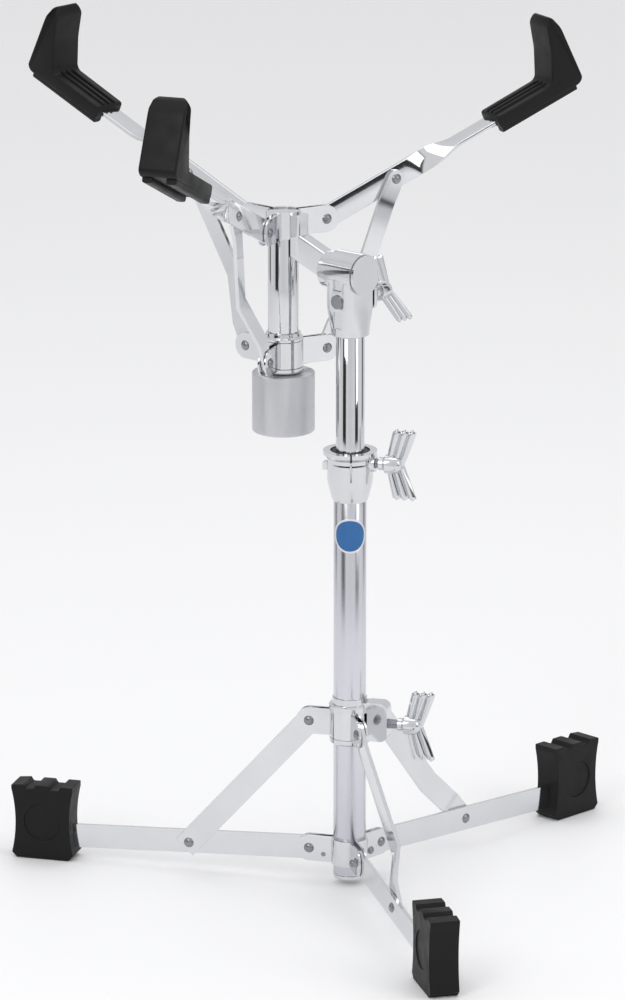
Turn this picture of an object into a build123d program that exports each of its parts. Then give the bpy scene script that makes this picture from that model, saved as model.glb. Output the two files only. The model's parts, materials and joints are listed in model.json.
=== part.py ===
"""Snare drum stand: flat-base tripod, telescopic post, clamp tilter and three-arm basket.

Row frame: millimetres, +Z up, origin on the floor under the main tube's axis.
The player's side is towards -Y.  Azimuths are measured about +Z from +X.
"""
from build123d import *
from math import atan2, cos, degrees, hypot, radians, sin
import os

os.makedirs("parts", exist_ok=True)

# ---- tubes -------------------------------------------------------------------
LOWER_R = 12.7            # 1 in tube
LOWER_BORE_R = 11.5
LOWER_Z0 = 8.0
LOWER_TOP = 345.0
UPPER_R = 11.1            # 7/8 in tube
UPPER_BORE_R = 9.9
UPPER_Z0 = 206.2
UPPER_TOP = 456.0
BASKET_TUBE_R = 12.0
BASKET_TUBE_BORE_R = 10.4
BASKET_TUBE_Z0 = 386.0
BASKET_TUBE_TOP = 531.0
FIT = 0.05                # radial clearance of everything that runs or slides

# ---- tripod ------------------------------------------------------------------
LEG_AZIMUTHS = (-75.0, 45.0, 165.0)
LEG_PIVOT_R = 32.2
LEG_PIVOT_Z = 26.4
BRACE_PIVOT_Z = 131.3     # on the sliding collar, at the leg pivots' radius
LEG_RIVET_R = 130.3
LEG_RIVET_Z = 22.4
LEG_HEIGHT = 19.0
LEG_LENGTH = 232.0
BAR_T = 3.0               # flat bar of legs, braces, arms and links
FOOT_R = 250.0
FOOT_LENGTH = 51.0
FOOT_T = 23.0
FOOT_HEIGHT = 61.0
FOOT_WAIST = 3.2
BRACE_END = 6.0           # squared end past the rivet
BRACE_BOW = 11.0          # how far a brace leans aside before it cranks back

# ---- stamped brackets and rivets ---------------------------------------------
EAR_T = 1.6
EAR_H = 21.0
SIDE_GAP = 0.3            # air between flat pieces that swing past each other
EAR_GAP = BAR_T / 2 + SIDE_GAP
RIVET_R = 2.5
RIVET_HEAD_R = 4.1
RIVET_HEAD_H = 2.2
BRACKET_SCREW_R = 20.4
BRACKET_SCREW_Z = 22.0
BESIDE = BAR_T + SIDE_GAP  # a bar's mid-plane when it lies beside another bar

# ---- tube clamp and wing screws ----------------------------------------------
CLAMP_Z0 = 312.0
CLAMP_TOP = 352.0
CLAMP_R = 17.9
CLAMP_FLANGE_R = 21.0
CLAMP_SCREW_Z = 342.5
CLAMP_SPLIT_AZIMUTH = -88.0
COLLAR_SCREW_Z = 133.0
SCREW_AZIMUTH = -15.0     # both wing screws sit halfway between two legs
SCREW_R = 4.0
WING_SPAN = 28.5
WING_WIDTH = 17.5

# ---- tilter, in its own frame: +X along the barrel, away from the basket ------
BAR_AZIMUTH = -41.0
BARREL_Z = 492.0
BARREL_R = 12.5
HOUSING_R = 16.5
HOUSING_HALF = 13.0
BOLT_Z = 471.7
HEAD_Z0 = 444.0
HEAD_BACK = -15.5         # bolt head side
HEAD_FRONT = 14.5         # jaw side
JAW_GAP = 1.6
CAP_R = 15.5

# ---- basket ------------------------------------------------------------------
BASKET_OFFSET = 68.8
ARM_SPREAD = 69.3         # the two arms beside the bar
ARM_ELEVATION = 23.0
HUB_PIVOT_R = 36.5
HUB_PIVOT_Z = 521.0
LINK_PIVOT_S = 65.7       # along the arm from its hub pivot
LOWER_EAR_R = 36.9
LOWER_EAR_Z = 418.2
ARM_HEIGHT = 18.0
ARM_TWIST_S = (77.0, 128.0)
ARM_END_S = 236.0
LINK_HEIGHT = 14.0
LINK_BOW = 11.5
KNOB_R = 24.5
KNOB_Z0 = 355.5
KNOB_Z1 = 403.0
BAR_HEIGHT = 20.0
BAR_WIDTH = 12.0
BAR_ROOT = (13.6, 506.8)  # radius from the basket axis, height
BAR_TIP = (47.0, 494.2)
BOOT_HALF = 15.0
BOOT_S0 = 160.0

BASKET_X = -BASKET_OFFSET * cos(radians(BAR_AZIMUTH))
BASKET_Y = -BASKET_OFFSET * sin(radians(BAR_AZIMUTH))
ARM_AZIMUTHS = {
    "a": BAR_AZIMUTH + 180.0,
    "b": BAR_AZIMUTH - ARM_SPREAD,
    "c": BAR_AZIMUTH + ARM_SPREAD,
}


# ---- helpers -----------------------------------------------------------------
def save(name, *solids):
    """Write one node; several separate solids become one group."""
    flat = []
    for item in solids:
        flat.extend(item if isinstance(item, list) else [item])
    shape = flat[0] if len(flat) == 1 else Compound(children=flat)
    export_step(shape, f"parts/{name}.step")


def about(azimuth, centre=(0.0, 0.0)):
    """Frame whose +X points outwards at an azimuth from a vertical axis."""
    return Location((centre[0], centre[1], 0), (0, 0, azimuth))


def polygon(*points):
    return make_face(Polyline(*points, close=True).edges())


def turned(*points):
    """Solid of revolution about Z from (radius, height) points."""
    return revolve(Plane.XZ * polygon(*points), Axis.Z)


def ring(r_in, r_out, z0, z1):
    return turned((r_in, z0), (r_out, z0), (r_out, z1), (r_in, z1))


def side_plate(outline, y0, y1):
    """A sketch of the XZ plane as a plate between y0 and y1."""
    return Pos(0, y1, 0) * extrude(Plane.XZ * outline, amount=y1 - y0)


def pin(radius, y0, y1, x=0.0, z=0.0):
    """Round bar along Y."""
    return Pos(x, (y0 + y1) / 2, z) * Rot(90, 0, 0) * Cylinder(radius, y1 - y0)


def rod(radius, x0, x1, z=0.0):
    """Round bar along X."""
    return Pos((x0 + x1) / 2, 0, z) * Rot(0, 90, 0) * Cylinder(radius, x1 - x0)


def rivet(y0, y1, heads, x=0.0, z=0.0, radius=RIVET_R, head_r=RIVET_HEAD_R):
    """Rivet along Y; heads lists the ends (-1, +1) that carry a domed head."""
    solid = pin(radius, y0, y1, x, z)
    ball_r = (head_r**2 + RIVET_HEAD_H**2) / (2 * RIVET_HEAD_H)
    dome = Pos(0, 0, RIVET_HEAD_H - ball_r) * Sphere(ball_r)
    dome &= Pos(0, 0, RIVET_HEAD_H / 2) * Box(3 * head_r, 3 * head_r, RIVET_HEAD_H)
    for side in heads:
        face_y = y1 if side > 0 else y0
        solid += Pos(x, face_y, z) * Rot(-90 * side, 0, 0) * dome
    return solid


def bar_outline(x0, x1, height, round_start=False, round_end=False):
    """Flat-bar outline along X; a round end is centred on x0 or x1."""
    outline = Pos((x0 + x1) / 2, 0) * Rectangle(x1 - x0, height)
    if round_start:
        outline += Pos(x0, 0) * Circle(height / 2)
    if round_end:
        outline += Pos(x1, 0) * Circle(height / 2)
    return outline


def cranked_bar(path, outline, thickness=BAR_T):
    """Flat bar whose mid-plane follows a (length, sideways) path."""
    half = thickness / 2
    edge = [(x, y + half) for x, y in path] + [(x, y - half) for x, y in reversed(path)]
    band = extrude(polygon(*edge), amount=EAR_H, both=True)
    return (band & side_plate(outline, -30, 30)).solid()


def strap_set(azimuths, r_in, z_mid, pivot_r):
    """Stampings that wrap a round body and turn out into two ears at each azimuth."""
    ordered = sorted(a % 360 for a in azimuths)
    straps = []
    for index, first in enumerate(ordered):
        second = ordered[(index + 1) % len(ordered)]
        span = (second - first) % 360
        fan = [(0, 0)]
        for step in range(7):
            a = radians(first + span * step / 6)
            fan.append((3 * r_in * cos(a), 3 * r_in * sin(a)))
        band = ring(r_in, r_in + EAR_T, -EAR_H / 2, EAR_H / 2)
        band &= extrude(polygon(*fan), amount=EAR_H, both=True)
        for azimuth, side in ((first, 1), (second, -1)):
            band -= about(azimuth) * Pos(r_in, 0, 0) * Box(2 * r_in, 2 * EAR_GAP, 2 * EAR_H)
            outline = bar_outline(r_in + 0.4, pivot_r, EAR_H, round_end=True)
            outline -= Pos(pivot_r, 0) * Circle(RIVET_R)
            y0, y1 = sorted((side * EAR_GAP, side * (EAR_GAP + EAR_T)))
            band += about(azimuth) * side_plate(outline, y0, y1)
        straps.append(Pos(0, 0, z_mid) * band)
    return straps


def ear_rivets(azimuths, pivot_r, z):
    reach = EAR_GAP + EAR_T
    return [about(a) * rivet(-reach, reach, (-1, 1), pivot_r, z) for a in azimuths]


def spool(bore_r, z0, z1, z2, z3, neck_r=14.0, foot_r=15.8, head_r=16.4):
    """Turned collar: a foot ring, a neck for the straps and a stepped head ring."""
    lip = z2 + 0.55 * (z3 - z2)
    return turned(
        (bore_r, z0), (foot_r - 1, z0), (foot_r, z0 + 1), (foot_r, z1), (neck_r, z1),
        (neck_r, z2), (head_r, z2), (head_r, lip - 1), (head_r - 1, lip),
        (neck_r, lip), (neck_r - 0.4, z3), (bore_r, z3),
    )


# ---- base --------------------------------------------------------------------
def lower_tube():
    return ring(LOWER_BORE_R, LOWER_R, LOWER_Z0, LOWER_TOP)


def tube_end_plug():
    return turned(
        (0, 4.5), (11.7, 4.5), (LOWER_R, 5.5), (LOWER_R, LOWER_Z0),
        (LOWER_BORE_R, LOWER_Z0), (LOWER_BORE_R, 20), (0, 20),
    )


def leg_bracket():
    straps = strap_set(LEG_AZIMUTHS, LOWER_R, LEG_PIVOT_Z, LEG_PIVOT_R)
    rivets = ear_rivets(LEG_AZIMUTHS, LEG_PIVOT_R, LEG_PIVOT_Z)
    reach = EAR_GAP + EAR_T
    for azimuth in LEG_AZIMUTHS:
        frame = about(azimuth)
        hole = frame * pin(1.8, -reach, reach, BRACKET_SCREW_R, BRACKET_SCREW_Z)
        straps = [strap - hole for strap in straps]
        rivets.append(frame * rivet(-reach, reach, (-1,), BRACKET_SCREW_R, BRACKET_SCREW_Z, 1.8, 3.2))
    return straps, rivets


def tube_clamp():
    body = turned(
        (LOWER_R, CLAMP_Z0), (13.5, CLAMP_Z0), (14.4, CLAMP_Z0 + 2), (17.2, CLAMP_Z0 + 13),
        (CLAMP_R, CLAMP_Z0 + 17), (CLAMP_R, CLAMP_TOP - 6), (CLAMP_FLANGE_R, CLAMP_TOP - 3),
        (CLAMP_FLANGE_R, CLAMP_TOP), (15.5, CLAMP_TOP), (15.5, LOWER_TOP), (LOWER_R, LOWER_TOP),
    )
    screw = about(SCREW_AZIMUTH)
    body += screw * (rod(6.8, 15.8, 20.6, CLAMP_SCREW_Z) - rod(4.0, 15.0, 21.0, CLAMP_SCREW_Z))
    body += about(SCREW_AZIMUTH + 180) * Pos(18.6, 0, CLAMP_SCREW_Z - 4) * Box(5, 8, 6)
    body -= screw * rod(SCREW_R + FIT, LOWER_R + 0.1, 22, CLAMP_SCREW_Z)
    front = about(CLAMP_SPLIT_AZIMUTH)
    body -= front * Pos(20, 0, CLAMP_TOP - 10) * Box(14.4, 1.3, 24)
    cross = ring(LOWER_R, CLAMP_R + 1, CLAMP_SCREW_Z - 0.6, CLAMP_SCREW_Z + 0.6)
    cross &= front * Pos(14, 0, CLAMP_SCREW_Z) * Box(10.5, 27, 4)
    return (body - cross).solid()


def clamp_bushing():
    return turned(
        (UPPER_R + FIT, 322), (LOWER_BORE_R, 322), (LOWER_BORE_R, LOWER_TOP), (15.5, LOWER_TOP),
        (15.5, CLAMP_TOP - 1.5), (13.6, CLAMP_TOP - 0.3), (UPPER_R + FIT, CLAMP_TOP - 0.3),
    )


def badge():
    disc = ring(LOWER_R, LOWER_R + 0.4, 268, 304)
    return (disc & Pos(0, -12, 286) * Rot(90, 0, 0) * Cylinder(12.4, 20)).solid()


def wing_outline(x0):
    """Bow-tie thumb plate in the XZ plane; the tips lean away from the tube."""
    lean = 5.0
    upper = [
        (x0, 5.5), (x0 + lean, WING_SPAN - 1.5), (x0 + lean + WING_WIDTH, WING_SPAN),
        (x0 + WING_WIDTH + 1, 5.5),
    ]
    lower = [(x, -z) for x, z in reversed(upper)]
    return polygon(*upper, *lower)


def wing_screw(shank_x0, hub_x0, z):
    """Wing screw along +X: shank, neck, hub and two fluted thumb plates."""
    solid = rod(SCREW_R, shank_x0, hub_x0 + 2, z)
    solid += rod(5.2, hub_x0 - 6, hub_x0 + 1, z)
    hub = Pos(hub_x0 + WING_WIDTH / 2, 0, z) * Rot(0, 90, 0) * Cone(7.6, 5.6, WING_WIDTH)
    solid += hub
    plate = Pos(0, 0, z) * side_plate(wing_outline(hub_x0), -2.6, 2.6)
    for share in (0.31, 0.66):
        for side in (-1, 1):
            for y in (-3.4, 3.4):
                x = hub_x0 + share * WING_WIDTH + 3.2
                flute = Pos(x, y, z + side * 20) * Rot(0, side * 10, 0) * Cylinder(2.0, 26)
                plate -= flute
    return (solid + plate).solid()


# ---- sliding collar ----------------------------------------------------------
def collar():
    z1 = BRACE_PIVOT_Z - EAR_H / 2 - 0.2
    z2 = BRACE_PIVOT_Z + EAR_H / 2 + 0.2
    body = spool(LOWER_R + FIT, z1 - 4.5, z1, z2, z2 + 11)
    screw = about(SCREW_AZIMUTH)
    boss = Pos(23.8, 0, 135) * Box(16, 14, 31)
    boss = fillet(boss.edges().filter_by(Axis.Y).group_by(Axis.X)[-1], 6)
    boss += Pos(18, 0, z2 + 4) * Box(12, 14, 8)
    boss -= Pos(20, 0, 125) * Box(10, 9, 12)
    body += screw * (boss - Cylinder(15.7, 2 * z2, align=(Align.CENTER, Align.CENTER, Align.MIN)))
    body += screw * (boss & Pos(0, 0, z2 + 4) * (Cylinder(17, 8) - Cylinder(14, 8)))
    body -= screw * rod(SCREW_R + FIT, LOWER_R, 40, COLLAR_SCREW_Z)
    straps = strap_set(LEG_AZIMUTHS, 14.0, BRACE_PIVOT_Z, LEG_PIVOT_R)
    straps = [s - screw * rod(SCREW_R + 0.6, LOWER_R, 19, COLLAR_SCREW_Z) for s in straps]
    return body.solid(), straps, ear_rivets(LEG_AZIMUTHS, LEG_PIVOT_R, BRACE_PIVOT_Z)


# ---- legs and braces ---------------------------------------------------------
LEG_DROP = degrees(atan2(LEG_PIVOT_Z - LEG_RIVET_Z, LEG_RIVET_R - LEG_PIVOT_R))
LEG_SPAN = hypot(LEG_RIVET_R - LEG_PIVOT_R, LEG_PIVOT_Z - LEG_RIVET_Z)
BRACE_DROP = degrees(atan2(BRACE_PIVOT_Z - LEG_RIVET_Z, LEG_RIVET_R - LEG_PIVOT_R))
BRACE_SPAN = hypot(LEG_RIVET_R - LEG_PIVOT_R, BRACE_PIVOT_Z - LEG_RIVET_Z)


def leg_frame(azimuth):
    return about(azimuth) * Pos(LEG_PIVOT_R, 0, LEG_PIVOT_Z) * Rot(0, LEG_DROP, 0)


def brace_frame(azimuth):
    return about(azimuth) * Pos(LEG_PIVOT_R, 0, BRACE_PIVOT_Z) * Rot(0, BRACE_DROP, 0)


def leg(azimuth):
    outline = bar_outline(0, LEG_LENGTH, LEG_HEIGHT, round_start=True)
    outline -= Circle(RIVET_R + FIT)
    outline -= Pos(LEG_SPAN, 0) * Circle(RIVET_R)
    return leg_frame(azimuth) * side_plate(outline, -BAR_T / 2, BAR_T / 2)


def foot_outline():
    """Block with waisted ends, a lobed top edge and a lightly lobed sole."""
    x0, x1 = FOOT_R - FOOT_LENGTH / 2, FOOT_R + FOOT_LENGTH / 2
    mid, top = FOOT_HEIGHT * 0.5, FOOT_HEIGHT
    lobe, dip, slope = 10.0, 3.2, 2.0
    crown = [(x0, top - 1)]
    for centre in (x0 + lobe / 2, FOOT_R, x1 - lobe / 2):
        left, right = centre - lobe / 2, centre + lobe / 2
        if centre > x0 + lobe:
            crown.append((left - slope, top - dip))
        crown += [(left, top), (right, top)]
        if centre < x1 - lobe:
            crown.append((right + slope, top - dip))
    crown[-1] = (x1, top - 1)
    edges = [
        Polyline((x0, top - 1), *crown[1:-1], (x1, top - 1)),
        Polyline((x1, top - 1), (x1, top - 4)),
        ThreePointArc((x1, top - 4), (x1 - FOOT_WAIST, mid), (x1, 4)),
        Polyline((x1, 4), (x1 - 4, 0), (x0 + 4, 0), (x0, 4)),
        ThreePointArc((x0, 4), (x0 + FOOT_WAIST, mid), (x0, top - 4)),
        Polyline((x0, top - 4), (x0, top - 1)),
    ]
    return make_face(Curve() + edges)


def foot(azimuth, leg_solid):
    block = side_plate(foot_outline(), -FOOT_T / 2, FOOT_T / 2)
    for side in (-1, 1):
        block -= pin(15.0, side * FOOT_T / 2 - 1, side * FOOT_T / 2 + 1, FOOT_R, FOOT_HEIGHT / 2)
    return (about(azimuth) * block - leg_solid).solid()


def leg_rivet(azimuth):
    return leg_frame(azimuth) * rivet(-BAR_T / 2, BAR_T / 2, (-1,), LEG_SPAN)


def brace(azimuth):
    outline = bar_outline(0, BRACE_SPAN + BRACE_END, LEG_HEIGHT, round_start=True)
    outline -= Circle(RIVET_R + FIT)
    outline -= Pos(BRACE_SPAN, 0) * Circle(RIVET_R)
    path = [
        (-12, 0), (12, 0), (0.68 * BRACE_SPAN, BRACE_BOW), (0.87 * BRACE_SPAN, BESIDE),
        (BRACE_SPAN + 12, BESIDE),
    ]
    return brace_frame(azimuth) * cranked_bar(path, outline)


def brace_rivet(azimuth):
    y0 = BESIDE - BAR_T / 2
    return brace_frame(azimuth) * rivet(y0, y0 + BAR_T, (1,), BRACE_SPAN)


# ---- post and tilter ---------------------------------------------------------
def tube_glide():
    return turned(
        (6, 196), (LOWER_BORE_R - FIT - 0.5, 196), (LOWER_BORE_R - FIT, 197),
        (LOWER_BORE_R - FIT, 206), (UPPER_BORE_R - FIT, 206), (UPPER_BORE_R - FIT, 222), (6, 222),
    )


def upper_tube():
    return ring(UPPER_BORE_R, UPPER_R, UPPER_Z0, UPPER_TOP)


def tilter_head():
    """Cast head: socket for the tube, flat-sided body and a housing round the barrel."""
    foot_section = Plane.XY.offset(HEAD_Z0) * Circle(14.6)
    depth = HEAD_FRONT - HEAD_BACK
    centre_y = (HEAD_FRONT + HEAD_BACK) / 2
    shoulder = Plane.XY.offset(466) * Pos(0, centre_y) * RectangleRounded(2 * HOUSING_HALF, depth, 5)
    body = loft([foot_section, shoulder])
    block = Pos(0, centre_y, 477) * Box(2 * HOUSING_HALF, depth, 22)
    block = fillet(block.edges().filter_by(Axis.Z), 5)
    body += block
    body += rod(HOUSING_R, -HOUSING_HALF, HOUSING_HALF, BARREL_Z)
    body -= rod(BARREL_R + FIT, -HOUSING_HALF - 1, HOUSING_HALF + 1, BARREL_Z)
    body -= Pos(0, 0, 450) * Cylinder(UPPER_R, 12.01)
    body -= pin(3.0, -20, 20, 0, BOLT_Z)
    body -= pin(5.4, HEAD_BACK - 1, HEAD_BACK + 3, 0, BOLT_Z)
    for z, height in ((BOLT_Z + 13, 9), (BOLT_Z - 14.5, 13)):
        body -= Pos(0, HEAD_BACK, z) * Box(8, 2.4, height)
    slit = Pos(0, HEAD_FRONT + 2, BARREL_Z - 5) * Box(40, 6, JAW_GAP)
    return (body - slit).solid()


def tilter_jaw():
    y0 = HEAD_FRONT + JAW_GAP
    plate = Pos(0, y0 + 1.6, BOLT_Z) * Box(22, 3.2, 20)
    plate = fillet(plate.edges().filter_by(Axis.Y), 5)
    return plate - pin(3.0, 0, 30, 0, BOLT_Z)


def clamp_bolt():
    return pin(3.0, HEAD_BACK + 3, 34, 0, BOLT_Z) + pin(5.4, HEAD_BACK - 1.2, HEAD_BACK + 3, 0, BOLT_Z)


def tilter_wing_nut():
    nut = wing_screw(HEAD_FRONT + JAW_GAP + 3.5, 32.0, 0)
    nut -= rod(3.0 + FIT, 0, 35, 0)
    return Pos(0, 0, BOLT_Z) * Rot(0, 0, 90) * Rot(-35, 0, 0) * nut


def barrel():
    body = rod(BARREL_R, -HOUSING_HALF - 0.3, HOUSING_HALF + 0.3, BARREL_Z)
    body += rod(14.5, -21.5, -HOUSING_HALF - 0.3, BARREL_Z)
    return body


def barrel_cap():
    x0 = HOUSING_HALF + 0.3
    disc = rod(CAP_R, x0, x0 + 2.4, BARREL_Z)
    ball_r = 40.0
    dome = Pos(x0 + 5.0 - ball_r, 0, BARREL_Z) * Sphere(ball_r)
    dome &= Pos(x0 + 4.4, 0, BARREL_Z) * Box(4, 40, 40)
    dome &= rod(CAP_R - 1.2, x0, x0 + 8, BARREL_Z)
    return (disc + dome).solid()


# ---- basket ------------------------------------------------------------------
def basket_bar():
    """Rectangular bar from the hub down to the barrel, in the basket's bar plane."""
    rise = BAR_TIP[1] - BAR_ROOT[1]
    run = BAR_TIP[0] - BAR_ROOT[0]
    slope = degrees(atan2(rise, run))
    length = hypot(rise, run) + 14
    bar = Box(length, BAR_WIDTH, BAR_HEIGHT)
    bar = fillet(bar.edges().filter_by(Axis.X), 1.6)
    middle = ((BAR_ROOT[0] + BAR_TIP[0]) / 2, (BAR_ROOT[1] + BAR_TIP[1]) / 2)
    bar = Pos(middle[0], 0, middle[1]) * Rot(0, -slope, 0) * bar
    bar &= Pos(BAR_TIP[0] / 2, 0, 500) * Box(BAR_TIP[0] + 0.6, 40, 80)
    root = Pos(16.5, 0, 514) * Box(10, 13, 32)
    root = fillet(root.edges().filter_by(Axis.Z), 2.5)
    return (bar + root - Pos(0, 0, 510) * Cylinder(BAR_ROOT[0], 80)).solid()


def basket_collar():
    z1 = LOWER_EAR_Z - EAR_H / 2 - 0.2
    z2 = LOWER_EAR_Z + EAR_H / 2 + 0.2
    return spool(BASKET_TUBE_R + FIT, KNOB_Z1 + 0.3, z1, z2, z2 + 6, head_r=15.6)


def knob():
    return turned(
        (0, KNOB_Z0), (KNOB_R - 1.5, KNOB_Z0), (KNOB_R, KNOB_Z0 + 1.5), (KNOB_R, KNOB_Z1 - 1.5),
        (KNOB_R - 1.5, KNOB_Z1), (BASKET_TUBE_R + FIT, KNOB_Z1), (BASKET_TUBE_R + FIT, KNOB_Z0 + 3),
        (0, KNOB_Z0 + 3),
    )


LINK_TOP_R = HUB_PIVOT_R + LINK_PIVOT_S * cos(radians(ARM_ELEVATION))
LINK_TOP_Z = HUB_PIVOT_Z + LINK_PIVOT_S * sin(radians(ARM_ELEVATION))
LINK_SPAN = hypot(LINK_TOP_R - LOWER_EAR_R, LINK_TOP_Z - LOWER_EAR_Z)
LINK_RISE = degrees(atan2(LINK_TOP_Z - LOWER_EAR_Z, LINK_TOP_R - LOWER_EAR_R))


def arm_frame(azimuth):
    return about(azimuth) * Pos(HUB_PIVOT_R, 0, HUB_PIVOT_Z) * Rot(0, -ARM_ELEVATION, 0)


def link_frame(azimuth):
    return about(azimuth) * Pos(LOWER_EAR_R, 0, LOWER_EAR_Z) * Rot(0, -LINK_RISE, 0)


def arm(azimuth):
    """Bar on edge from the hub, a quarter twist, then flat into the boot."""
    s0, s1 = ARM_TWIST_S
    outline = bar_outline(0, s0, ARM_HEIGHT, round_start=True)
    outline -= Circle(RIVET_R + FIT)
    outline -= Pos(LINK_PIVOT_S, 0) * Circle(RIVET_R)
    solid = side_plate(outline, -BAR_T / 2, BAR_T / 2)
    sections = []
    for step in range(7):
        share = step / 6
        plane = Plane(origin=(s0 + (s1 - s0) * share, 0, 0), x_dir=(0, 1, 0), z_dir=(1, 0, 0))
        sections.append(plane * Rot(0, 0, 90 * (1 - share)) * Rectangle(ARM_HEIGHT, BAR_T))
    solid += loft(sections, ruled=True)
    solid += Pos((s1 + ARM_END_S) / 2, 0, 0) * Box(ARM_END_S - s1, ARM_HEIGHT, BAR_T)
    return arm_frame(azimuth) * solid


def boot(azimuth, arm_solid):
    """Moulded boot: a sleeve on the flat end of the arm and an upright that holds the rim."""
    outline = polygon(
        (BOOT_S0, -6), (236, -6), (241, -2), (239, 46), (235, 56), (229, 54),
        (217, 12), (212, 6.5), (BOOT_S0, 6),
    )
    body = side_plate(outline, -BOOT_HALF, BOOT_HALF)
    for side in (-1, 1):
        corner = Pos(232, side * BOOT_HALF, 57) * Rot(side * 38, 0, 0) * Box(40, 14, 14)
        body -= corner
    return (arm_frame(azimuth) * body - arm_solid).solid()


def arm_rivet(azimuth):
    return arm_frame(azimuth) * rivet(-BAR_T / 2, BAR_T / 2, (1,), LINK_PIVOT_S)


def link(azimuth):
    outline = bar_outline(0, LINK_SPAN, LINK_HEIGHT, round_start=True, round_end=True)
    outline -= Circle(RIVET_R + FIT)
    outline -= Pos(LINK_SPAN, 0) * Circle(RIVET_R)
    path = [(-10, 0), (20, 0), (57, -LINK_BOW), (122, -BESIDE), (LINK_SPAN + 10, -BESIDE)]
    return link_frame(azimuth) * cranked_bar(path, outline)


def link_rivet(azimuth):
    y1 = -BESIDE + BAR_T / 2
    return link_frame(azimuth) * rivet(y1 - BAR_T, y1, (-1,), LINK_SPAN)


# ---- write every node --------------------------------------------------------
save("lower_tube", lower_tube())
save("tube_end_plug", tube_end_plug())
bracket_straps, bracket_rivets = leg_bracket()
save("leg_bracket_straps", bracket_straps)
save("leg_bracket_rivets", bracket_rivets)
save("tube_clamp", tube_clamp())
save("clamp_bushing", clamp_bushing())
save("badge", badge())
save("clamp_wing_screw", about(SCREW_AZIMUTH) * wing_screw(15.8, 29.0, CLAMP_SCREW_Z))

collar_body, collar_bands, collar_pins = collar()
save("collar_spool", collar_body)
save("collar_straps", collar_bands)
save("collar_rivets", collar_pins)
save("collar_wing_screw", about(SCREW_AZIMUTH) * wing_screw(LOWER_R + 0.4, 45.0, COLLAR_SCREW_Z))

for number, leg_azimuth in enumerate(LEG_AZIMUTHS, start=1):
    bar = leg(leg_azimuth)
    save(f"leg_{number}", bar)
    save(f"foot_{number}", foot(leg_azimuth, bar))
    save(f"leg_rivet_{number}", leg_rivet(leg_azimuth))
    save(f"brace_{number}", brace(leg_azimuth))
    save(f"brace_rivet_{number}", brace_rivet(leg_azimuth))

tilter = about(BAR_AZIMUTH)
save("tube_glide", tube_glide())
save("upper_tube", upper_tube())
save("tilter_head", tilter * tilter_head())
save("tilter_jaw", tilter * tilter_jaw())
save("clamp_bolt", tilter * clamp_bolt())
save("tilter_wing_nut", tilter * tilter_wing_nut())
save("barrel", tilter * barrel())
save("barrel_cap", tilter * barrel_cap())

basket = Pos(BASKET_X, BASKET_Y, 0)
azimuths = list(ARM_AZIMUTHS.values())
save("basket_bar", basket * about(BAR_AZIMUTH) * basket_bar())
save("basket_tube", basket * ring(BASKET_TUBE_BORE_R, BASKET_TUBE_R, BASKET_TUBE_Z0, BASKET_TUBE_TOP))
hub_straps = strap_set(azimuths, BASKET_TUBE_R, HUB_PIVOT_Z, HUB_PIVOT_R)
save("basket_hub", [basket * strap for strap in hub_straps])
save("hub_rivets", [basket * r for r in ear_rivets(azimuths, HUB_PIVOT_R, HUB_PIVOT_Z)])
save("basket_collar", basket * basket_collar())
collar_straps = strap_set(azimuths, 14.0, LOWER_EAR_Z, LOWER_EAR_R)
save("basket_collar_straps", [basket * strap for strap in collar_straps])
save("basket_collar_rivets", [basket * r for r in ear_rivets(azimuths, LOWER_EAR_R, LOWER_EAR_Z)])
save("basket_knob", basket * knob())

for letter, arm_azimuth in ARM_AZIMUTHS.items():
    arm_bar = arm(arm_azimuth)
    save(f"arm_{letter}", basket * arm_bar)
    save(f"boot_{letter}", basket * boot(arm_azimuth, arm_bar))
    save(f"arm_rivet_{letter}", basket * arm_rivet(arm_azimuth))
    save(f"link_{letter}", basket * link(arm_azimuth))
    save(f"link_rivet_{letter}", basket * link_rivet(arm_azimuth))
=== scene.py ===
"""Snare drum stand: finishes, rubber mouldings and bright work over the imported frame.

Lengths inside this file are millimetres until a mesh is written. Azimuths are degrees about +Z
from +X.
"""
import json

import bmesh
import bpy
import numpy as np
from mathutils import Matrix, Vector


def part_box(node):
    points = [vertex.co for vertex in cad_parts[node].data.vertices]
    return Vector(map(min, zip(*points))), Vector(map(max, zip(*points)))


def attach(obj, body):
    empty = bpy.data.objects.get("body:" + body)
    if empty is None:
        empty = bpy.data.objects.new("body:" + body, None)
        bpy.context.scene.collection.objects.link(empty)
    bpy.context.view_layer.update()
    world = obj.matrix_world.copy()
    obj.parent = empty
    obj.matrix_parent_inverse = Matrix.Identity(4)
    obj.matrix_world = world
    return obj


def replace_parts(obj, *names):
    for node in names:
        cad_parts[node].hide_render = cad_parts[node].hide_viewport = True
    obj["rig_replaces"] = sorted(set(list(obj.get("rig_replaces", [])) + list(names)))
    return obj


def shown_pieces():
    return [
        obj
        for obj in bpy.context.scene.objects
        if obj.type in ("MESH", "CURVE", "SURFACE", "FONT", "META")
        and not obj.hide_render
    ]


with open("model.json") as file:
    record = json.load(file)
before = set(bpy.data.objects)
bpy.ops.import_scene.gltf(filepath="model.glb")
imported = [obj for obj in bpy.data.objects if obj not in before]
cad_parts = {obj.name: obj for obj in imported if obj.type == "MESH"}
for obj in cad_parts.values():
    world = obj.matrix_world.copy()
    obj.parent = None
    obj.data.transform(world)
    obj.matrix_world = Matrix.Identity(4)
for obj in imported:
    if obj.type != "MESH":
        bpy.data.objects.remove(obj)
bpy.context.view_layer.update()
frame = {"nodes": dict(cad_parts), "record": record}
NODES = frame["nodes"]
BODY_OF = {
    node: body
    for body, nodes in frame["record"]["behaviour"]["bodies"].items()
    for node in nodes
}

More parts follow.
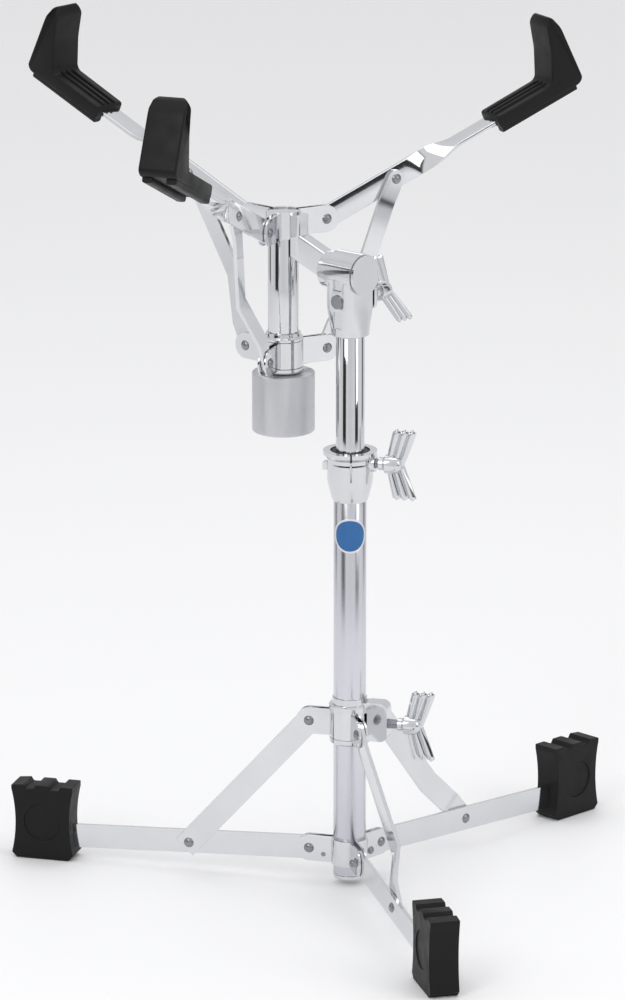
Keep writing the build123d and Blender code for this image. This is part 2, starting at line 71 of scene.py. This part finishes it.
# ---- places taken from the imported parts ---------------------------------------
SCREW_AZIMUTH = -15.0
BAR_AZIMUTH = -41.0
ARM_SPREAD = 69.3
ARM_ELEVATION = 23.0
HUB_PIVOT_R = 36.5
HUB_PIVOT_Z = 521.0
ARM_AZIMUTHS = {
    "a": BAR_AZIMUTH + 180.0,
    "b": BAR_AZIMUTH - ARM_SPREAD,
    "c": BAR_AZIMUTH + ARM_SPREAD,
}
LOWER_R, LOWER_BORE_R = 12.7, 11.5
UPPER_R, UPPER_BORE_R = 11.1, 9.9
BASKET_TUBE_R, BASKET_TUBE_BORE_R = 12.0, 10.4
KNOB_BORE_R = 12.06
CLAMP_SCREW_Z, COLLAR_SCREW_Z, NUT_Z = 342.5, 133.0, 471.7
ARM_HALF_HEIGHT, ARM_HALF_THICK = 9.0, 1.5
TWIST_START, TWIST_END, ARM_END = 77.0, 128.0, 236.0
THREAD_PITCH = 1.25
KNURL_PITCH = 1.2
ON_AXIS = 0.05  # smallest radius of a closed end, so that no two points meet


def box_mm(node):
    low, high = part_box(node)
    return np.array(low) * 1000, np.array(high) * 1000


def centre_mm(node):
    low, high = box_mm(node)
    return (low + high) / 2


BASKET = centre_mm("basket_tube")[:2]


# ---- frames -------------------------------------------------------------------
def turn(axis, degrees_):
    """Rotation matrix about x, y or z by the right-hand rule."""
    c, s = np.cos(np.radians(degrees_)), np.sin(np.radians(degrees_))
    i, j = {"x": (1, 2), "y": (2, 0), "z": (0, 1)}[axis]
    matrix = np.eye(3)
    matrix[i, i] = matrix[j, j] = c
    matrix[i, j], matrix[j, i] = -s, s
    return matrix


def moved(points, rotation, origin):
    """Every point turned by the rotation, then shifted by the origin."""
    return points @ rotation.T + np.asarray(origin, float)


def polar(azimuth, radius, height, centre=(0.0, 0.0)):
    a = np.radians(azimuth)
    return np.array([centre[0] + radius * np.cos(a), centre[1] + radius * np.sin(a), height])


# ---- meshes -------------------------------------------------------------------
def once_round(count):
    """Angles of one full turn, without the last, which is the first again."""
    return np.linspace(0, 2 * np.pi, count, endpoint=False)


def grid_quads(nu, nv, wrap_u, wrap_v):
    """Corner indices of every cell of an nu by nv grid, wrapped round where asked."""
    i = np.arange(nu if wrap_u else nu - 1)[:, None]
    j = np.arange(nv if wrap_v else nv - 1)[None, :]
    k, m = (i + 1) % nu, (j + 1) % nv
    return np.stack([i * nv + j, k * nv + j, k * nv + m, i * nv + m], -1).reshape(-1, 4)


def finish_piece(name, mesh, body, material, slot, nodes=(), sharp=35.0, bevel=0.0):
    """Closed mesh to a riding piece: normals out, smooth but for its sharp edges, edges broken."""
    work = bmesh.new()
    work.from_mesh(mesh)
    bmesh.ops.recalc_face_normals(work, faces=work.faces)
    work.to_mesh(mesh)
    work.free()
    mesh.polygons.foreach_set("use_smooth", np.ones(len(mesh.polygons), bool))
    mesh.set_sharp_from_angle(angle=np.radians(sharp))
    mesh.materials.clear()
    mesh.materials.append(material)
    piece = bpy.data.objects.new(name, mesh)
    bpy.context.scene.collection.objects.link(piece)
    if bevel:
        rim = piece.modifiers.new("edge", "BEVEL")
        rim.width = bevel / 1000
        rim.segments = 2
        rim.limit_method = "ANGLE"
        rim.angle_limit = np.radians(sharp)
        rim.harden_normals = True
    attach(piece, body)
    if nodes:
        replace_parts(piece, *nodes)
    return piece


def surface(name, points, body, material, slot, wrap_u=False, wrap_v=True, uv=None, **more):
    """Grid of points (u, v, xyz) in mm to a piece; open u ends are closed by flat caps."""
    nu, nv = points.shape[:2]
    quads = grid_quads(nu, nv, wrap_u, wrap_v)
    faces = quads.tolist()
    if not wrap_u:
        faces.append(list(range(nv))[::-1])
        faces.append(list(range((nu - 1) * nv, nu * nv)))
    mesh = bpy.data.meshes.new(name)
    mesh.from_pydata((points.reshape(-1, 3) / 1000).tolist(), [], faces)
    if uv is not None:
        layer = mesh.uv_layers.new(name="surface_mm")
        corners = np.empty(len(mesh.loops), np.int32)
        mesh.loops.foreach_get("vertex_index", corners)
        layer.data.foreach_set("uv", uv.reshape(-1, 2)[corners].ravel())
    return finish_piece(name, mesh, body, material, slot, **more)


def lathe(name, profile, centre, body, material, slot, segments=96, **more):
    """Closed (radius, height) profile swept once round a vertical axis."""
    profile = np.asarray(profile, float)
    angle = once_round(segments)[:, None]
    points = np.stack(
        [
            centre[0] + profile[:, 0] * np.cos(angle),
            centre[1] + profile[:, 0] * np.sin(angle),
            profile[:, 1] + 0 * angle,
        ],
        -1,
    )
    return surface(name, points, body, material, slot, wrap_u=True, wrap_v=True, **more)


def dressed(node, material, slot, bevel=0.35, sharp=30.0):
    """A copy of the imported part, its flats merged and its edges broken, that stands for it."""
    mesh = NODES[node].data.copy()
    mesh.name = node + "_finish"
    work = bmesh.new()
    work.from_mesh(mesh)
    bmesh.ops.remove_doubles(work, verts=work.verts, dist=2e-6)
    bmesh.ops.dissolve_limit(work, angle_limit=np.radians(0.5), verts=work.verts, edges=work.edges)
    work.to_mesh(mesh)
    work.free()
    return finish_piece(
        node + "_finish", mesh, BODY_OF[node], material, slot, (node,), sharp=sharp, bevel=bevel
    )


# ---- materials ----------------------------------------------------------------
def linear(code):
    """sRGB hex to linear RGBA."""
    c = np.array([int(code[i:i + 2], 16) for i in (1, 3, 5)]) / 255
    c = np.where(c <= 0.04045, c / 12.92, ((c + 0.055) / 1.055) ** 2.4)
    return (*c.tolist(), 1.0)


def add(tree, kind, links=None, **settings):
    """One node with its settings; links maps an input to the output that feeds it."""
    node = tree.nodes.new(kind)
    for key, value in settings.items():
        setattr(node, key, value)
    for key, value in (links or {}).items():
        if isinstance(value, bpy.types.NodeSocket):
            tree.links.new(value, node.inputs[key])
        else:
            node.inputs[key].default_value = value
    return node


def blank(name):
    material = bpy.data.materials.new(name)
    material.use_nodes = True
    tree = material.node_tree
    tree.nodes.clear()
    where = add(tree, "ShaderNodeTexCoord").outputs["Object"]
    return material, tree, where


def span(tree, value, low, high):
    """Noise value from 0 to 1 spread between two numbers."""
    return add(tree, "ShaderNodeMapRange", {"Value": value, "From Min": 0.3, "From Max": 0.7,
                                            "To Min": low, "To Max": high}).outputs["Result"]


def close_material(tree, shader):
    add(tree, "ShaderNodeOutputMaterial", {"Surface": shader.outputs["BSDF"]})


PER_MM = 1000.0  # texture scale for one pattern unit per millimetre, on metre coordinates


def plated(name, colour, rough, rough_worn, wave_mm, wave_depth):
    """Electroplated metal: a mirror with a faint ripple left by the polishing under the plate."""
    material, tree, where = blank(name)
    cloud = add(tree, "ShaderNodeTexNoise", {"Vector": where, "Scale": PER_MM / 22, "Detail": 4.0})
    ripple = add(
        tree, "ShaderNodeTexNoise",
        {"Vector": where, "Scale": PER_MM / wave_mm, "Detail": 2.0},
    )
    haze = add(tree, "ShaderNodeTexNoise", {"Vector": where, "Scale": PER_MM / 0.9, "Detail": 6.0})
    tone = add(
        tree, "ShaderNodeMix",
        {"Factor": cloud.outputs["Fac"], "A": linear(colour[0]), "B": linear(colour[1])},
        data_type="RGBA",
    )
    smudge = add(
        tree, "ShaderNodeMath", {0: cloud.outputs["Fac"], 1: haze.outputs["Fac"]},
        operation="MULTIPLY",
    )
    bump = add(
        tree, "ShaderNodeBump",
        {"Height": ripple.outputs["Fac"], "Strength": 0.5, "Distance": wave_depth / 1000},
    )
    shader = add(
        tree, "ShaderNodeBsdfPrincipled",
        {
            "Base Color": tone.outputs["Result"],
            "Metallic": 1.0,
            "Roughness": add(
                tree, "ShaderNodeMapRange",
                {"Value": smudge.outputs[0], "From Min": 0.1, "From Max": 0.4,
                 "To Min": rough, "To Max": rough_worn},
            ).outputs["Result"],
            "Normal": bump.outputs["Normal"],
        },
    )
    close_material(tree, shader)
    return material


def moulded(name, colour, rough, grain_mm, grain_depth, specular=0.5):
    """Moulded rubber or nylon: matt, with the fine spark-eroded grain of its tool."""
    material, tree, where = blank(name)
    cloud = add(tree, "ShaderNodeTexNoise", {"Vector": where, "Scale": PER_MM / 14, "Detail": 5.0})
    grain = add(tree, "ShaderNodeTexVoronoi", {"Vector": where, "Scale": PER_MM / grain_mm})
    tone = add(
        tree, "ShaderNodeMix",
        {"Factor": cloud.outputs["Fac"], "A": linear(colour[0]), "B": linear(colour[1])},
        data_type="RGBA",
    )
    bump = add(
        tree, "ShaderNodeBump",
        {"Height": grain.outputs["Distance"], "Strength": 0.6, "Distance": grain_depth / 1000},
    )
    shader = add(
        tree, "ShaderNodeBsdfPrincipled",
        {
            "Base Color": tone.outputs["Result"],
            "Roughness": span(tree, cloud.outputs["Fac"], rough - 0.06, rough + 0.08),
            "Specular IOR Level": specular,
            "Normal": bump.outputs["Normal"],
        },
    )
    close_material(tree, shader)
    return material


def knurled(name):
    """Satin chrome over a fine diamond knurl, cut along both diagonals."""
    material, tree, _ = blank(name)
    flat = add(tree, "ShaderNodeUVMap", uv_map="surface_mm").outputs["UV"]
    heights = []
    for lean in (30.0, -30.0):
        leaned = add(
            tree, "ShaderNodeMapping", {"Vector": flat, "Rotation": (0, 0, np.radians(lean))},
        )
        wave = add(
            tree, "ShaderNodeTexWave",
            {"Vector": leaned.outputs["Vector"], "Scale": np.pi / 10 / KNURL_PITCH},
            wave_type="BANDS", bands_direction="X", wave_profile="SIN",
        )
        heights.append(wave.outputs["Fac"])
    crossed = add(tree, "ShaderNodeMath", {0: heights[0], 1: heights[1]}, operation="MINIMUM")
    bump = add(
        tree, "ShaderNodeBump",
        {"Height": crossed.outputs[0], "Strength": 0.7, "Distance": 0.25e-3},
    )
    # Painted shade and painted highlight: the knurl's valleys are coloured darker and its crests
    # lighter, as shade and light would fall on them; the plate itself is one colour.
    tone = add(
        tree, "ShaderNodeMix",
        {"Factor": crossed.outputs[0], "A": linear("#bfc0c5"), "B": linear("#ececef")},
        data_type="RGBA",
    )
    shader = add(
        tree, "ShaderNodeBsdfPrincipled",
        {
            "Base Color": tone.outputs["Result"],
            "Metallic": 1.0,
            "Roughness": add(
                tree, "ShaderNodeMapRange",
                {"Value": crossed.outputs[0], "To Min": 0.36, "To Max": 0.20},
            ).outputs["Result"],
            "Normal": bump.outputs["Normal"],
        },
    )
    close_material(tree, shader)
    return material


CHROME = plated("chrome_plate_on_steel", ("#d3d5d8", "#dfe0e2"), 0.045, 0.10, 16.0, 0.012)
CAST = plated("chrome_plate_on_die_casting", ("#cfd1d4", "#dcdddf"), 0.07, 0.14, 7.0, 0.03)
RIVET = plated("bright_zinc_rivet", ("#85888d", "#9da0a5"), 0.16, 0.28, 3.0, 0.02)
TUBE = plated("satin_chrome_plate_on_tube", ("#d2d3da", "#d8d9df"), 0.23, 0.26, 24.0, 0.004)
SATIN = knurled("satin_chrome_knurl")
RUBBER = moulded("moulded_black_rubber_foot", ("#050505", "#0c0c0d"), 0.52, 0.55, 0.03, 0.28)
BOOT = moulded("moulded_black_rubber_boot", ("#040404", "#0a0a0b"), 0.46, 0.45, 0.02, 0.28)
NYLON = moulded("moulded_black_nylon", ("#0a0a0b", "#101011"), 0.40, 0.4, 0.01, 0.35)
ENAMEL = moulded("blue_enamel_badge", ("#1d5f9e", "#256aa8"), 0.22, 2.0, 0.004)

FINISH = {
    "chrome_plate": CHROME,
    "cast_chrome": CAST,
    "satin_chrome": SATIN,
    "bright_steel": RIVET,
    "foot_rubber": RUBBER,
    "boot_rubber": BOOT,
    "black_nylon": NYLON,
    "badge_enamel": ENAMEL,
}
SLOT_OF = {part["node"]: part["material_slot"] for part in frame["record"]["subparts"]}

# ---- tubes and the knob, turned afresh so their reflections run true ----------
def tube(node, r_in, r_out, lip=0.5, material=CHROME, closed=False):
    """Tube with a small radius on each rim, one closed profile; a closed tube has a 2 mm top."""
    low, high = box_mm(node)
    z0, z1 = low[2], high[2]
    profile = [
        (r_in, z0), (r_out - lip, z0), (r_out, z0 + lip), (r_out, z1 - lip), (r_out - lip, z1),
    ]
    if closed:
        profile += [(ON_AXIS, z1), (ON_AXIS, z1 - 2), (r_in, z1 - 2)]
    else:
        profile += [(r_in, z1)]
    lathe(
        node + "_finish", profile, centre_mm(node)[:2], BODY_OF[node], material, "chrome_plate",
        nodes=(node,), sharp=60,
    )


tube("lower_tube", LOWER_BORE_R, LOWER_R, material=TUBE)
tube("upper_tube", UPPER_BORE_R, UPPER_R)
tube("basket_tube", BASKET_TUBE_BORE_R, BASKET_TUBE_R, closed=True)


def knob():
    """Cup of the knob as one closed profile; u runs round and v along the profile, both in mm."""
    low, high = box_mm("basket_knob")
    r, z0, z1 = (high[0] - low[0]) / 2, low[2], high[2]
    corner = np.linspace(0, np.pi / 2, 6)
    outer = [(r - 2 + 2 * np.sin(a), z0 + 2 - 2 * np.cos(a)) for a in corner]
    outer += [(r - 1.2 + 1.2 * np.cos(a), z1 - 1.2 + 1.2 * np.sin(a)) for a in corner]
    cup = [(KNOB_BORE_R, z1), (KNOB_BORE_R, z0 + 3), (ON_AXIS, z0 + 3)]
    profile = np.array([(ON_AXIS, z0)] + outer + cup)
    length = np.concatenate([[0], np.cumsum(np.hypot(*np.diff(profile, axis=0).T))])
    segments = 128
    angle = once_round(segments)
    uv = np.stack(np.broadcast_arrays(angle[:, None] * r, length[None, :]), -1)
    lathe(
        "basket_knob_finish", profile, BASKET, "knob", SATIN, "satin_chrome", segments=segments,
        uv=uv, nodes=("basket_knob",), sharp=50,
    )


knob()


# ---- rubber boots -------------------------------------------------------------
def eased(points, radius, steps=5):
    """Closed polygon with every corner replaced by a quadratic arc that starts one radius away."""
    points = np.asarray(points, float)
    before, after = np.roll(points, 1, 0) - points, np.roll(points, -1, 0) - points
    reach_before = np.linalg.norm(before, axis=1, keepdims=True)
    reach_after = np.linalg.norm(after, axis=1, keepdims=True)
    size = np.minimum(radius, 0.45 * np.minimum(reach_before, reach_after))
    start, end = points + before / reach_before * size, points + after / reach_after * size
    t = np.linspace(0, 1, steps)[None, :, None]
    arcs = start[:, None] * (1 - t) ** 2 + 2 * points[:, None] * t * (1 - t) + end[:, None] * t**2
    return arcs.reshape(-1, 2)


def inward(outline):
    """Unit normals of a closed outline, pointing in: the tangent turned a quarter, sign by area."""
    tangent = np.roll(outline, -1, 0) - np.roll(outline, 1, 0)
    tangent /= np.linalg.norm(tangent, axis=1, keepdims=True) + 1e-12
    x, y = outline.T
    area = np.sum(x * np.roll(y, -1) - np.roll(x, -1) * y)
    return np.sign(area) * np.stack([-tangent[:, 1], tangent[:, 0]], -1)


def moulding(outline, half_width, edge):
    """Outline (s, n) carried across its width, drawn in near each side along a quarter circle."""
    phi = np.linspace(0, np.pi / 2, 6)
    rise = 1 - edge + edge * np.sin(phi)
    y = np.concatenate([-rise[::-1], rise])
    inset = np.concatenate([1 - np.cos(phi[::-1]), 1 - np.cos(phi)])
    normal = inward(outline)
    width = half_width(outline)
    depth = 1.5 * inset[:, None, None]
    ring_ = outline[None] + normal[None] * depth
    across = (y[:, None] * width[None])[..., None]
    return np.concatenate([ring_[..., :1], across, ring_[..., 1:]], -1)


def boot(letter):
    """Moulded boot in the arm's frame: s along the arm, n square to it, a tall outer end."""
    rotation = turn("z", ARM_AZIMUTHS[letter]) @ turn("y", -ARM_ELEVATION)
    origin = polar(ARM_AZIMUTHS[letter], HUB_PIVOT_R, HUB_PIVOT_Z, BASKET)
    outline = eased(
        [
            (160, -5), (236, -5), (240.5, -1.5), (238, 44), (234.5, 54.5), (231, 57),
            (227, 51.5), (222.5, 30), (214.5, 8.2), (211, 6), (160, 6),
        ],
        3.0,
    )

    def half_width(points):
        """15 mm, drawn in to 10 mm over the top 9 mm, and to 14 mm along the sleeve."""
        n, s = points[:, 1], points[:, 0]
        top = np.clip((n - 48) / 9, 0, 1)
        sleeve = np.clip((214 - s) / 20, 0, 1)
        return 15 - 5.0 * top**2 - 1.0 * sleeve

    points = moved(moulding(outline, half_width, 0.13), rotation, origin)
    surface(
        f"boot_{letter}_finish", points, f"arm_{letter}", BOOT, "boot_rubber",
        nodes=(f"boot_{letter}",), sharp=40,
    )
    along = np.linspace(162, 213, 24)
    for index, side in enumerate((-6.0, 0.0, 6.0)):
        rib_height = np.where(along < 210, 1.9, 1.3)
        angle = once_round(16)
        rib = np.stack(
            np.broadcast_arrays(
                along[:, None], side + 1.5 * np.cos(angle)[None],
                6.0 + rib_height[:, None] * np.sin(angle)[None],
            ), -1,
        )
        surface(
            f"boot_{letter}_rib_{index + 1}", moved(rib, rotation, origin), f"arm_{letter}",
            BOOT, "boot_rubber", sharp=50,
        )
    for index, side in enumerate((-9.5, 9.5)):
        angle = once_round(16)
        run = np.linspace(161, 233, 16)
        rail = np.stack(
            np.broadcast_arrays(
                run[:, None],
                side + 4.2 * np.sign(np.cos(angle)) * np.abs(np.cos(angle)) ** 0.5,
                -5.5 + 3.4 * np.sign(np.sin(angle)) * np.abs(np.sin(angle)) ** 0.5,
            ), -1,
        )
        surface(
            f"boot_{letter}_rail_{index + 1}", moved(rail, rotation, origin), f"arm_{letter}",
            BOOT, "boot_rubber", sharp=50, bevel=0.6,
        )


for letter in ARM_AZIMUTHS:
    boot(letter)


# ---- arms: flat bar on edge, a quarter twist, then flat -------------------------
def arm(letter):
    """Rounded rectangle carried along s; it turns a quarter over the twist, eased at both ends."""
    rotation = turn("z", ARM_AZIMUTHS[letter]) @ turn("y", -ARM_ELEVATION)
    origin = polar(ARM_AZIMUTHS[letter], HUB_PIVOT_R, HUB_PIVOT_Z, BASKET)
    nose = -ARM_HALF_HEIGHT * np.cos(np.linspace(0, np.pi / 2, 14))[:-1]
    nose[0] = 0.03 - ARM_HALF_HEIGHT
    s = np.concatenate(
        [
            nose,
            np.linspace(0, TWIST_START, 10)[:-1],
            np.linspace(TWIST_START, TWIST_END, 40),
            np.linspace(TWIST_END + 4, ARM_END, 8),
        ]
    )
    rounded = np.sqrt(np.maximum(ARM_HALF_HEIGHT**2 - s**2, 0.5))
    half = np.where(s < 0, rounded, ARM_HALF_HEIGHT)
    t = ARM_HALF_THICK
    section = eased([(-1, -t), (1, -t), (1, t), (-1, t)], 0.5, 4)
    share = np.clip((s - TWIST_START) / (TWIST_END - TWIST_START), 0, 1)
    twist = np.radians(90) * (share * share * (3 - 2 * share))
    up = np.sign(section[:, 0]) * (half[:, None] - (1 - np.abs(section[:, 0])))
    side = np.broadcast_to(section[:, 1], up.shape)
    y = up * np.sin(twist)[:, None] + side * np.cos(twist)[:, None]
    z = up * np.cos(twist)[:, None] - side * np.sin(twist)[:, None]
    points = np.stack([np.broadcast_to(s[:, None], y.shape), y, z], -1)
    surface(
        f"arm_{letter}_finish", moved(points, rotation, origin), f"arm_{letter}", CHROME,
        "chrome_plate", nodes=(f"arm_{letter}",), sharp=40,
    )


for letter in ARM_AZIMUTHS:
    arm(letter)


# ---- wing screws ----------------------------------------------------------------
def wing(name, rotation, origin, body):
    """Thumb plate with three ribs and leaning tips, and its hub turned about X."""
    u = np.linspace(0, 1, 37)
    v = np.linspace(-1, 1, 41)[:, None]
    reach = 28.2 - 1.8 * np.abs(np.cos(3 * np.pi * u)) ** 1.5
    lean = 5.2 * np.abs(v) ** 1.3
    width = 17.2 + 1.6 * np.abs(v) - 3.0 * (1 - np.abs(v)) ** 2
    x = lean + u * width
    z = v * reach
    thick = 0.5 + 2.3 * np.abs(np.sin(3 * np.pi * u)) ** 0.9
    thick = thick * np.ones_like(v) * (1 - 0.2 * np.abs(v))
    edge = np.minimum(1, 8 * u) * np.minimum(1, 8 * (1 - u))
    edge = edge * np.minimum(1, 14 * (1 - np.abs(v)))
    thick = thick * (0.35 + 0.65 * np.sqrt(np.clip(edge, 0, 1)))
    front = np.stack([x, thick, z], -1)
    back = np.stack([x, -thick, z], -1)[:, ::-1]
    loop = np.concatenate([front, back], 1)
    surface(name + "_wings", moved(loop, rotation, origin), body, CAST, "cast_chrome", sharp=50)
    profile = np.array([
        (-6.0, 4.6), (-5.6, 5.2), (-2.2, 5.2), (-1.8, 4.7), (-1.0, 4.7), (-0.8, 7.0),
        (-0.2, 7.6), (4.0, 7.5), (8.5, 6.9), (10.8, 5.8), (12.2, 4.2), (12.9, 2.2),
        (13.1, ON_AXIS),
    ])
    hub_x, radius = profile[:, :1], profile[:, 1]
    angle = once_round(48)[None]
    hub = np.stack(
        np.broadcast_arrays(
            hub_x, radius[:, None] * np.cos(angle), radius[:, None] * np.sin(angle)
        ), -1,
    )
    surface(name + "_hub", moved(hub, rotation, origin), body, CAST, "cast_chrome", sharp=40)


def shank(name, rotation, origin, body, x0, x1, node):
    """Threaded rod: the radius rises and falls once each pitch of length."""
    x = np.arange(x0, x1, 0.2)[:, None]
    radius = 3.8 - 0.35 * np.abs(2 * ((x / THREAD_PITCH) % 1) - 1)
    angle = once_round(28)[None]
    rod = np.stack(np.broadcast_arrays(x, radius * np.cos(angle), radius * np.sin(angle)), -1)
    surface(
        name + "_thread", moved(rod, rotation, origin), body, RIVET, "bright_steel",
        nodes=(node,), sharp=80,
    )


SIDE = turn("z", SCREW_AZIMUTH)
for node, hub_r, height, start in (
    ("clamp_wing_screw", 29.0, CLAMP_SCREW_Z, -13.0),
    ("collar_wing_screw", 45.0, COLLAR_SCREW_Z, -31.0),
):
    place = polar(SCREW_AZIMUTH, hub_r, height)
    wing(node, SIDE, place, BODY_OF[node])
    shank(node, SIDE, place, BODY_OF[node], start, 0, node)
NUT_TURN = turn("z", BAR_AZIMUTH + 90) @ turn("x", -35)
nut_place = polar(BAR_AZIMUTH + 90, 32.0, NUT_Z)
wing("tilter_wing_nut", NUT_TURN, nut_place, "wing_nut")
shank("tilter_wing_nut", NUT_TURN, nut_place, "wing_nut", -12, 0, "tilter_wing_nut")


# ---- badge ----------------------------------------------------------------------
def badge_ring(name, r0, r1, lift, material, slot, nodes=()):
    """Flat annulus r0..r1 bent round the tube: across the disc becomes arc length on the tube."""
    centre = centre_mm("badge")
    angle = once_round(72)[:, None]
    steps = np.linspace(r0, r1, 12)
    radius = np.concatenate([steps, steps[::-1]])[None]
    height = np.concatenate([0 * steps, 0 * steps + lift])[None]
    bend, up = radius * np.cos(angle) / LOWER_R, radius * np.sin(angle)
    reach = LOWER_R + 0.01 + height
    shell = np.stack([reach * np.sin(bend), -reach * np.cos(bend), centre[2] + up], -1)
    surface(name, shell, "base", material, slot, wrap_u=True, nodes=nodes, sharp=40)


badge_ring("badge_rim", 12.3, 13.9, 0.38, CHROME, "chrome_plate", ("badge",))
badge_ring("badge_field", ON_AXIS, 12.4, 0.26, ENAMEL, "badge_enamel")

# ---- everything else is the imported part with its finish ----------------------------
BEVEL = {
    "foot_": 1.3, "tilter_head": 0.9, "tilter_jaw": 0.8, "basket_bar": 0.5, "tube_clamp": 0.5,
    "collar_spool": 0.5, "basket_collar": 0.4, "leg_": 0.35, "brace_": 0.35, "link_": 0.35,
}
replaced = {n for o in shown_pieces() for n in o.get("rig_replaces", [])}
for node in sorted(NODES):
    if node in replaced:
        continue
    width = next((v for k, v in BEVEL.items() if node.startswith(k)), 0.25)
    if "rivet" in node or node in ("clamp_bolt", "barrel", "barrel_cap"):
        width = 0.15
    finish = CHROME if node == "tube_end_plug" else FINISH[SLOT_OF[node]]
    dressed(node, finish, SLOT_OF[node], bevel=width)

# ---- floor, studio light and camera --------------------------------------------------
def floor():
    """Pale seamless paper, a disc 8 m across."""
    angle = once_round(96)
    mesh = bpy.data.meshes.new("floor")
    rim = np.stack([4 * np.cos(angle), 4 * np.sin(angle), -0.0004 + 0 * angle], -1)
    mesh.from_pydata(rim.tolist(), [], [list(range(96))])
    material, tree, where = blank("matt_white_paper_sweep")
    cloud = add(tree, "ShaderNodeTexNoise", {"Vector": where, "Scale": 1.5, "Detail": 3.0})
    tone = add(
        tree, "ShaderNodeMix",
        {"Factor": cloud.outputs["Fac"], "A": linear("#fafafa"), "B": linear("#fcfcfc")},
        data_type="RGBA",
    )
    shader = add(
        tree, "ShaderNodeBsdfPrincipled",
        {"Base Color": tone.outputs["Result"], "Roughness": 0.55},
    )
    close_material(tree, shader)
    mesh.materials.append(material)
    piece = bpy.data.objects.new("floor", mesh)
    bpy.context.scene.collection.objects.link(piece)


def studio():
    """White room with dark openings to either side, so that bright metal has something to show."""
    world = bpy.data.worlds.new("studio")
    bpy.context.scene.world = world
    world.use_nodes = True
    tree = world.node_tree
    tree.nodes.clear()
    way = add(tree, "ShaderNodeTexCoord").outputs["Generated"]
    parts = add(tree, "ShaderNodeSeparateXYZ", {"Vector": way})
    bearing = add(
        tree, "ShaderNodeMath", {0: parts.outputs["X"], 1: parts.outputs["Y"]},
        operation="ARCTAN2",
    )
    share = add(
        tree, "ShaderNodeMapRange",
        {"Value": bearing.outputs[0], "From Min": -np.pi, "From Max": np.pi},
    )
    bands = add(tree, "ShaderNodeValToRGB", {"Fac": share.outputs["Result"]})
    ramp = bands.color_ramp
    ramp.interpolation = "EASE"
    stops = [
        (0.0, 0.9), (0.085, 1.0), (0.10, 0.05), (0.16, 0.03), (0.175, 0.9), (0.27, 1.0),
        (0.31, 0.06), (0.35, 0.9), (0.65, 0.9), (0.69, 0.06), (0.73, 1.0), (0.815, 1.0),
        (0.83, 0.04), (0.885, 0.05), (0.90, 1.0), (1.0, 0.9),
    ]
    ramp.elements[0].position, ramp.elements[1].position = 0.0, 1.0
    for position, _ in stops[1:-1]:
        ramp.elements.new(position)
    for element, (_, value) in zip(ramp.elements, stops):
        element.color = (value, value, value * 1.01, 1)
    high = add(
        tree, "ShaderNodeMapRange",
        {"Value": parts.outputs["Z"], "From Min": 0.45, "From Max": 0.75},
    )
    sky = add(
        tree, "ShaderNodeMix",
        {"Factor": high.outputs["Result"], "A": bands.outputs["Color"], "B": (1.0, 1.0, 1.02, 1)},
        data_type="RGBA",
    )
    seen = add(tree, "ShaderNodeLightPath").outputs["Is Camera Ray"]
    shown = add(
        tree, "ShaderNodeMix", {"Factor": seen, "A": sky.outputs["Result"], "B": linear("#fefefe")},
        data_type="RGBA",
    )
    strength = add(tree, "ShaderNodeMapRange", {"Value": seen, "To Min": 0.84, "To Max": 1.0})
    glow = add(
        tree, "ShaderNodeBackground",
        {"Color": shown.outputs["Result"], "Strength": strength.outputs["Result"]},
    )
    add(tree, "ShaderNodeOutputWorld", {"Surface": glow.outputs["Background"]})


def softbox(name, place, aim, size, power):
    lamp = bpy.data.lights.new(name, "AREA")
    lamp.shape = "RECTANGLE"
    lamp.size, lamp.size_y = size
    lamp.energy = power
    holder = bpy.data.objects.new(name, lamp)
    bpy.context.scene.collection.objects.link(holder)
    holder.location = place
    away = holder.location - Vector(aim)
    holder.rotation_euler = away.to_track_quat("Z", "Y").to_euler()


floor()
studio()
softbox("key_left", (-1.6, -2.2, 2.2), (0, 0, 0.35), (1.2, 1.6), 17)
softbox("fill_right", (2.0, -1.4, 1.4), (0, 0, 0.3), (0.8, 1.6), 9)
softbox("top", (0.0, 0.4, 2.6), (0, 0, 0.2), (1.8, 1.8), 12)

lens = bpy.data.cameras.new("camera")
lens.lens = 217.1
lens.sensor_width = 36.0
lens.clip_end = 50
camera = bpy.data.objects.new("camera", lens)
camera.location = (0.0, -4.5, 1.5477)
camera.rotation_euler = (np.radians(74.64), 0, np.radians(0.37))
bpy.context.scene.collection.objects.link(camera)
bpy.context.scene.camera = camera
bpy.context.scene.view_settings.view_transform = "Standard"
